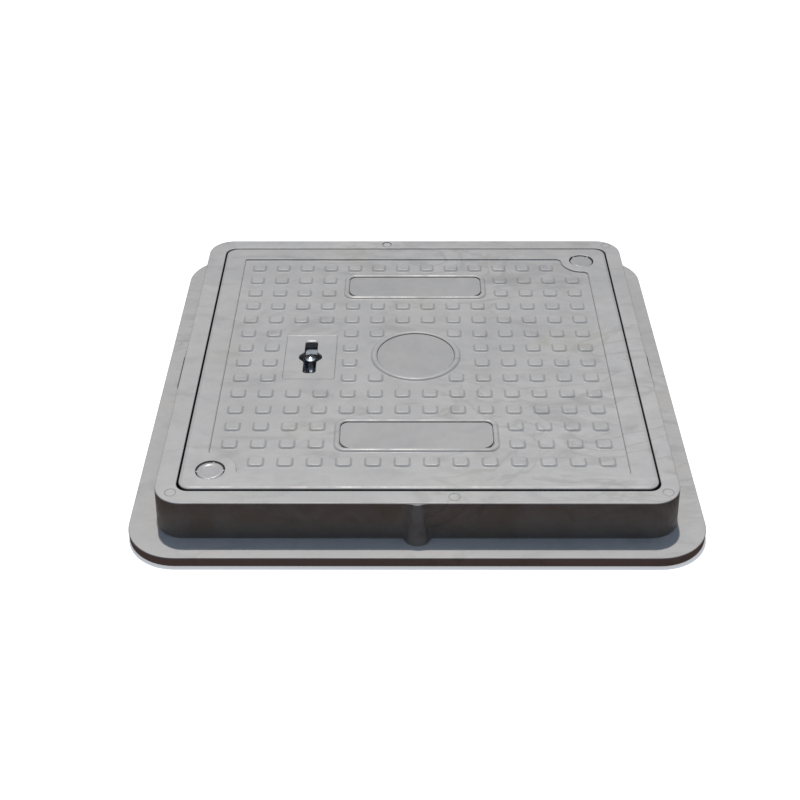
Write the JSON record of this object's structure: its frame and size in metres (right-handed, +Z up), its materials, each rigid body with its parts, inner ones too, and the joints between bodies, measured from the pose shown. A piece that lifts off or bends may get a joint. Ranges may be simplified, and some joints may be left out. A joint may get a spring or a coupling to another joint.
{
  "type": "manhole cover",
  "caption": "Square lockable access cover with anti-slip studs in a flanged frame, with a key-turned lock, steel toes and lift-hole plugs.",
  "frame": {"origin": "on the ground under the middle of the frame", "axes": "+Z up, +Y to the back, +X to the right; the key slot is on the left"},
  "size_m": [0.78, 0.78, 0.075],
  "materials": {
    "frame_resin": "satin moulded resin composite with flow marks",
    "lid_resin": "satin moulded resin composite with flow marks",
    "insert_resin": "smooth moulded resin",
    "plug_resin": "smooth moulded resin",
    "rubber": "matt black",
    "steel": "zinc-plated or stainless sheet",
    "polished_steel": "polished stainless steel",
    "bronze": "sintered bearing bronze",
    "nylon": "black nylon"
  },
  "bodies": {
    "frame": {"frame": "frame_resin", "seat_gasket": "rubber"},
    "lid": {"lid": "lid_resin", "nameplate_front": "insert_resin", "nameplate_rear": "insert_resin", "centre_badge": "insert_resin", "keyhole_plate": "lid_resin", "lock_housing": "steel", "spindle_bush": "bronze", "bolt_guide_outer": "nylon", "bolt_guide_inner": "nylon", "toe_clip_front": "steel", "toe_clip_rear": "steel", "housing_screw_1": "steel", "housing_screw_2": "steel", "housing_screw_3": "steel", "housing_screw_4": "steel", "guide_screw_1": "steel", "guide_screw_2": "steel", "guide_screw_3": "steel", "guide_screw_4": "steel", "toe_screw_1": "steel", "toe_screw_2": "steel", "toe_screw_3": "steel", "toe_screw_4": "steel"},
    "plug_front_left": {"lift_plug_front_left": "plug_resin", "plug_ring_front_left": "rubber"},
    "plug_back_right": {"lift_plug_back_right": "plug_resin", "plug_ring_back_right": "rubber"},
    "spindle": {"lock_spindle": "polished_steel", "crank_arm": "steel", "crank_pin": "polished_steel", "spindle_washer": "steel", "spindle_nut": "steel"},
    "bolt": {"lock_bolt": "steel"}
  },
  "joints": [
    {"name": "lid_tilt", "type": "hinge", "parent": "frame", "child": "lid", "pos_m": [0.321, 0, 0.075], "axis": [0, 1, 0], "range_deg": [0, 80]},
    {"name": "lock_turn", "type": "hinge", "parent": "lid", "child": "spindle", "pos_m": [-0.16, -0.004, 0.06], "axis": [0, 0, 1], "range_deg": [0, 90]},
    {"name": "bolt_slide", "type": "slide", "parent": "lid", "child": "bolt", "axis": [-1, 0, 0], "range_m": [0, 0.0213]},
    {"name": "plug_pull_front_left", "type": "slide", "parent": "lid", "child": "plug_front_left", "axis": [0, 0, 1], "range_m": [0, 0.03]},
    {"name": "plug_pull_back_right", "type": "slide", "parent": "lid", "child": "plug_back_right", "axis": [0, 0, 1], "range_m": [0, 0.03]}
  ],
  "couplings": [
    {"joint": "bolt_slide", "follows": "lock_turn", "m_per_rad": 0.0135}
  ]
}
